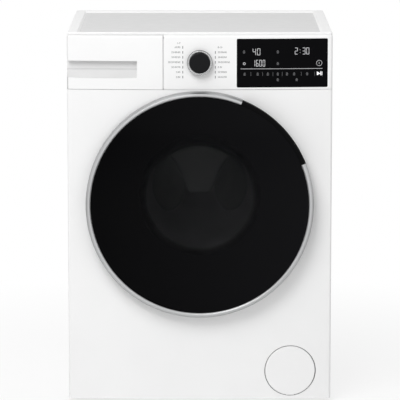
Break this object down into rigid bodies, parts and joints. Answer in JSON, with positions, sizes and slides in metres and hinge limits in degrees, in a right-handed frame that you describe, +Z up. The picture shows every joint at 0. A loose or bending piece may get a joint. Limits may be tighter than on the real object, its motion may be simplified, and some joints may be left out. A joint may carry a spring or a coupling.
{
  "type": "front load washing machine",
  "caption": "White front load washing machine with a round smoked door, detergent drawer, programme knob and touch display.",
  "frame": {"origin": "middle of the overall footprint, on the floor under the feet", "axes": "+Z up, the front faces -Y, +X to the right of someone facing the front"},
  "size_m": [0.597, 0.5999, 0.845],
  "materials": {
    "white_enamel": "smooth gloss enamel",
    "zinc_sheet": "plain galvanised sheet",
    "white_moulding": "satin white moulding",
    "worktop": "pale laminate",
    "black_window": "black printed glass",
    "smoked_window": "smoked glass, black border",
    "clear_bowl": "clear pressed glass",
    "bright_ring": "satin bright plating",
    "black_moulding": "fine-grained black",
    "grey_moulding": "plain grey moulding",
    "drawer_moulding": "white moulding",
    "blue_moulding": "blue moulding",
    "hinge_metal": "die cast",
    "steel": "plain steel",
    "drum_steel": "stainless steel",
    "lock_case": "black housing",
    "motor_case": "cast housing",
    "gasket_rubber": "grey moulded rubber",
    "black_rubber": "black rubber",
    "tub_moulding": "fibre-filled moulding",
    "concrete": "cast concrete"
  },
  "bodies": {
    "cabinet": {"side_panel_left": "white_enamel", "side_panel_right": "white_enamel", "base_tray": "grey_moulding", "front_panel": "white_enamel", "rear_panel": "zinc_sheet", "crossbar": "zinc_sheet", "worktop_frame": "white_moulding", "worktop_board": "worktop", "control_fascia": "white_moulding", "display_window": "black_window", "electronics": "lock_case", "hinge_bracket": "hinge_metal", "door_lock": "lock_case", "door_gasket": "gasket_rubber", "gasket_clamp": "steel", "filter_cup": "grey_moulding", "drain_pump": "lock_case", "sump_hose": "black_rubber", "drain_hose": "black_rubber", "dispenser_housing": "grey_moulding", "dispenser_hose": "black_rubber", "inlet_valve": "lock_case", "cable_gland": "black_moulding", "rear_fixings": "black_moulding", "foot_nuts": "steel", "damper_cylinders": "lock_case", "springs": "steel"},
    "tub": {"tub_front": "tub_moulding", "tub_rear": "tub_moulding", "counterweights": "concrete", "heater": "steel", "bearings": "steel", "motor": "motor_case", "drive_belt": "black_rubber", "damper_rods": "steel"},
    "drum": {"drum_shell": "drum_steel", "drum_back": "drum_steel", "drum_lifters": "grey_moulding", "drum_spider": "hinge_metal", "drum_shaft": "steel", "drive_pulley": "hinge_metal"},
    "motor_rotor": {"motor_pulley": "steel"},
    "door": {"door_ring": "bright_ring", "door_grip": "black_moulding", "door_window": "smoked_window", "door_frame": "grey_moulding", "door_bowl": "clear_bowl", "hinge_arm": "hinge_metal"},
    "latch": {"latch_hook": "steel"},
    "drawer": {"drawer_front": "white_moulding", "drawer_tray": "drawer_moulding", "siphon_cap": "blue_moulding"},
    "knob": {"knob_cap": "black_moulding", "knob_ring": "bright_ring"},
    "flap": {"filter_flap": "white_moulding"},
    "filter": {"filter_plug": "grey_moulding"},
    "foot_front_left_body": {"foot_front_left": "black_rubber"},
    "foot_rear_left_body": {"foot_rear_left": "black_rubber"},
    "foot_front_right_body": {"foot_front_right": "black_rubber"},
    "foot_rear_right_body": {"foot_rear_right": "black_rubber"}
  },
  "joints": [
    {"name": "door_hinge", "type": "hinge", "parent": "cabinet", "child": "door", "pos_m": [-0.246, -0.275, 0.459], "axis": [0, 0, -1], "range_deg": [0, 110]},
    {"name": "latch_pivot", "type": "hinge", "parent": "door", "child": "latch", "pos_m": [0.19, -0.266, 0.459], "axis": [0, 0, -1], "range_deg": [0, 5], "stiffness_Nm_per_rad": 0.6, "springref_deg": -11.46},
    {"name": "drawer_slide", "type": "slide", "parent": "cabinet", "child": "drawer", "axis": [0, -1, 0], "range_m": [0, 0.24]},
    {"name": "knob_turn", "type": "hinge", "parent": "cabinet", "child": "knob", "pos_m": [0, -0.28, 0.78], "axis": [0, 1, 0], "continuous": true},
    {"name": "tub_float", "type": "slide", "parent": "cabinet", "child": "tub", "axis": [0, 0, 1], "range_m": [-0.012, 0.012], "stiffness_N_per_m": 16000, "springref_m": 0.02006, "deforming": ["springs", "door_gasket", "sump_hose", "dispenser_hose"]},
    {"name": "drum_spin", "type": "hinge", "parent": "tub", "child": "drum", "pos_m": [0, 0, 0.459], "axis": [0, 1, 0], "continuous": true},
    {"name": "motor_spin", "type": "hinge", "parent": "tub", "child": "motor_rotor", "pos_m": [0, 0.22, 0.106], "axis": [0, 1, 0], "continuous": true},
    {"name": "flap_hinge", "type": "hinge", "parent": "cabinet", "child": "flap", "pos_m": [0.20592, -0.26052, 0.0173], "axis": [0.9982, 0.06, 0], "range_deg": [0, 95]},
    {"name": "filter_turn", "type": "hinge", "parent": "cabinet", "child": "filter", "pos_m": [0.206, -0.2, 0.073], "axis": [0, -1, 0], "range_deg": [0, 270]},
    {"name": "foot_front_left_level", "type": "slide", "parent": "cabinet", "child": "foot_front_left_body", "axis": [0, 0, -1], "range_m": [0, 0.015]},
    {"name": "foot_rear_left_level", "type": "slide", "parent": "cabinet", "child": "foot_rear_left_body", "axis": [0, 0, -1], "range_m": [0, 0.015]},
    {"name": "foot_front_right_level", "type": "slide", "parent": "cabinet", "child": "foot_front_right_body", "axis": [0, 0, -1], "range_m": [0, 0.015]},
    {"name": "foot_rear_right_level", "type": "slide", "parent": "cabinet", "child": "foot_rear_right_body", "axis": [0, 0, -1], "range_m": [0, 0.015]}
  ],
  "couplings": [
    {"joint": "motor_spin", "follows": "drum_spin", "ratio": 11.484}
  ]
}
